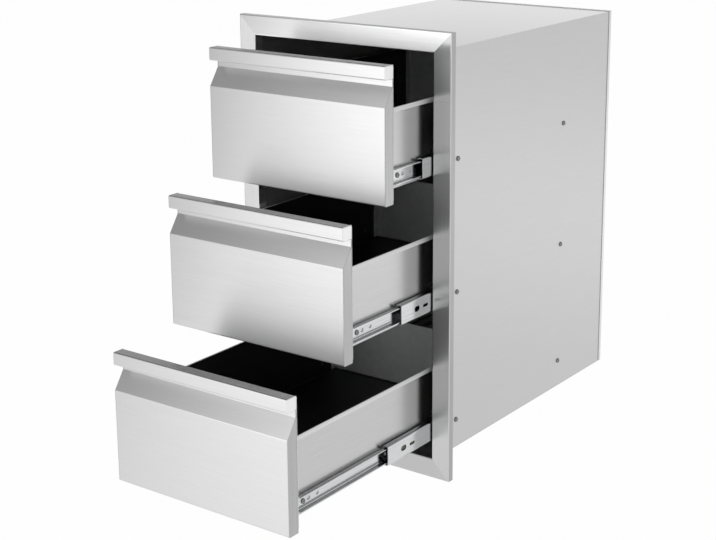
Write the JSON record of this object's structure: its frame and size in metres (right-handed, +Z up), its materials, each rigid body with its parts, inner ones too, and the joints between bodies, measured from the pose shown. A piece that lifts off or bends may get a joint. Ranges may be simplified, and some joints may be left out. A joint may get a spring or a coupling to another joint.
{
  "type": "outdoor kitchen drawer unit",
  "caption": "Stainless built-in drawer unit for an outdoor kitchen island: folded face frame and body, stacked drawers with full-width handle strips on telescopic ball-bearing slides.",
  "frame": {"origin": "on the underside of the body, at mid width, in the plane of the island's front face (the back of the face frame)", "axes": "+X to the right seen from the front, +Y into the island, +Z up; the drawers pull out along -Y"},
  "size_m": [0.356, 0.797, 0.62],
  "materials": {
    "brushed_front": "brushed along the width",
    "brushed_frame": "brushed",
    "mill_body": "mill finish sheet",
    "drawer_box_steel": "smooth rolled sheet",
    "zinc_rail": "zinc plated",
    "ball_cage_steel": "bright steel",
    "screw_steel": "plain stainless",
    "stop_rubber": "moulded"
  },
  "bodies": {
    "cabinet": {"face_frame": "brushed_frame", "left_side_panel": "mill_body", "right_side_panel": "mill_body", "top_panel": "mill_body", "bottom_panel": "mill_body", "back_panel": "mill_body", "rail_screws": "screw_steel", "rail_stops": "stop_rubber", "top_left_fixed_rail": "zinc_rail", "top_right_fixed_rail": "zinc_rail", "middle_left_fixed_rail": "zinc_rail", "middle_right_fixed_rail": "zinc_rail", "bottom_left_fixed_rail": "zinc_rail", "bottom_right_fixed_rail": "zinc_rail"},
    "top_drawer": {"top_front_skin": "brushed_front", "top_front_end_plates": "brushed_front", "top_front_liner": "drawer_box_steel", "top_box_tray": "drawer_box_steel", "top_box_back": "drawer_box_steel", "top_left_drawer_rail": "zinc_rail", "top_right_drawer_rail": "zinc_rail", "top_drawer_rail_screws": "screw_steel", "top_front_screws": "screw_steel"},
    "top_middle_rails": {"top_left_middle_rail": "zinc_rail", "top_right_middle_rail": "zinc_rail"},
    "top_outer_cages": {"top_outer_ball_cages": "ball_cage_steel"},
    "top_inner_cages": {"top_inner_ball_cages": "ball_cage_steel"},
    "middle_drawer": {"middle_front_skin": "brushed_front", "middle_front_end_plates": "brushed_front", "middle_front_liner": "drawer_box_steel", "middle_box_tray": "drawer_box_steel", "middle_box_back": "drawer_box_steel", "middle_left_drawer_rail": "zinc_rail", "middle_right_drawer_rail": "zinc_rail", "middle_drawer_rail_screws": "screw_steel", "middle_front_screws": "screw_steel"},
    "middle_middle_rails": {"middle_left_middle_rail": "zinc_rail", "middle_right_middle_rail": "zinc_rail"},
    "middle_outer_cages": {"middle_outer_ball_cages": "ball_cage_steel"},
    "middle_inner_cages": {"middle_inner_ball_cages": "ball_cage_steel"},
    "bottom_drawer": {"bottom_front_skin": "brushed_front", "bottom_front_end_plates": "brushed_front", "bottom_front_liner": "drawer_box_steel", "bottom_box_tray": "drawer_box_steel", "bottom_box_back": "drawer_box_steel", "bottom_left_drawer_rail": "zinc_rail", "bottom_right_drawer_rail": "zinc_rail", "bottom_drawer_rail_screws": "screw_steel", "bottom_front_screws": "screw_steel"},
    "bottom_middle_rails": {"bottom_left_middle_rail": "zinc_rail", "bottom_right_middle_rail": "zinc_rail"},
    "bottom_outer_cages": {"bottom_outer_ball_cages": "ball_cage_steel"},
    "bottom_inner_cages": {"bottom_inner_ball_cages": "ball_cage_steel"}
  },
  "joints": [
    {"name": "top_drawer_slide", "type": "slide", "parent": "cabinet", "child": "top_drawer", "axis": [0, -1, 0], "range_m": [-0.102, 0.328]},
    {"name": "top_middle_rails_slide", "type": "slide", "parent": "cabinet", "child": "top_middle_rails", "axis": [0, -1, 0], "range_m": [-0.051, 0.164]},
    {"name": "top_outer_cages_slide", "type": "slide", "parent": "cabinet", "child": "top_outer_cages", "axis": [0, -1, 0], "range_m": [-0.0255, 0.082]},
    {"name": "top_inner_cages_slide", "type": "slide", "parent": "cabinet", "child": "top_inner_cages", "axis": [0, -1, 0], "range_m": [-0.0765, 0.246]},
    {"name": "middle_drawer_slide", "type": "slide", "parent": "cabinet", "child": "middle_drawer", "axis": [0, -1, 0], "range_m": [-0.192, 0.238]},
    {"name": "middle_middle_rails_slide", "type": "slide", "parent": "cabinet", "child": "middle_middle_rails", "axis": [0, -1, 0], "range_m": [-0.096, 0.119]},
    {"name": "middle_outer_cages_slide", "type": "slide", "parent": "cabinet", "child": "middle_outer_cages", "axis": [0, -1, 0], "range_m": [-0.048, 0.0595]},
    {"name": "middle_inner_cages_slide", "type": "slide", "parent": "cabinet", "child": "middle_inner_cages", "axis": [0, -1, 0], "range_m": [-0.144, 0.1785]},
    {"name": "bottom_drawer_slide", "type": "slide", "parent": "cabinet", "child": "bottom_drawer", "axis": [0, -1, 0], "range_m": [-0.307, 0.123]},
    {"name": "bottom_middle_rails_slide", "type": "slide", "parent": "cabinet", "child": "bottom_middle_rails", "axis": [0, -1, 0], "range_m": [-0.1535, 0.0615]},
    {"name": "bottom_outer_cages_slide", "type": "slide", "parent": "cabinet", "child": "bottom_outer_cages", "axis": [0, -1, 0], "range_m": [-0.07675, 0.03075]},
    {"name": "bottom_inner_cages_slide", "type": "slide", "parent": "cabinet", "child": "bottom_inner_cages", "axis": [0, -1, 0], "range_m": [-0.23025, 0.09225]}
  ],
  "couplings": [
    {"joint": "top_middle_rails_slide", "follows": "top_drawer_slide", "ratio": 0.5},
    {"joint": "top_outer_cages_slide", "follows": "top_drawer_slide", "ratio": 0.25},
    {"joint": "top_inner_cages_slide", "follows": "top_drawer_slide", "ratio": 0.75},
    {"joint": "middle_middle_rails_slide", "follows": "middle_drawer_slide", "ratio": 0.5},
    {"joint": "middle_outer_cages_slide", "follows": "middle_drawer_slide", "ratio": 0.25},
    {"joint": "middle_inner_cages_slide", "follows": "middle_drawer_slide", "ratio": 0.75},
    {"joint": "bottom_middle_rails_slide", "follows": "bottom_drawer_slide", "ratio": 0.5},
    {"joint": "bottom_outer_cages_slide", "follows": "bottom_drawer_slide", "ratio": 0.25},
    {"joint": "bottom_inner_cages_slide", "follows": "bottom_drawer_slide", "ratio": 0.75}
  ]
}
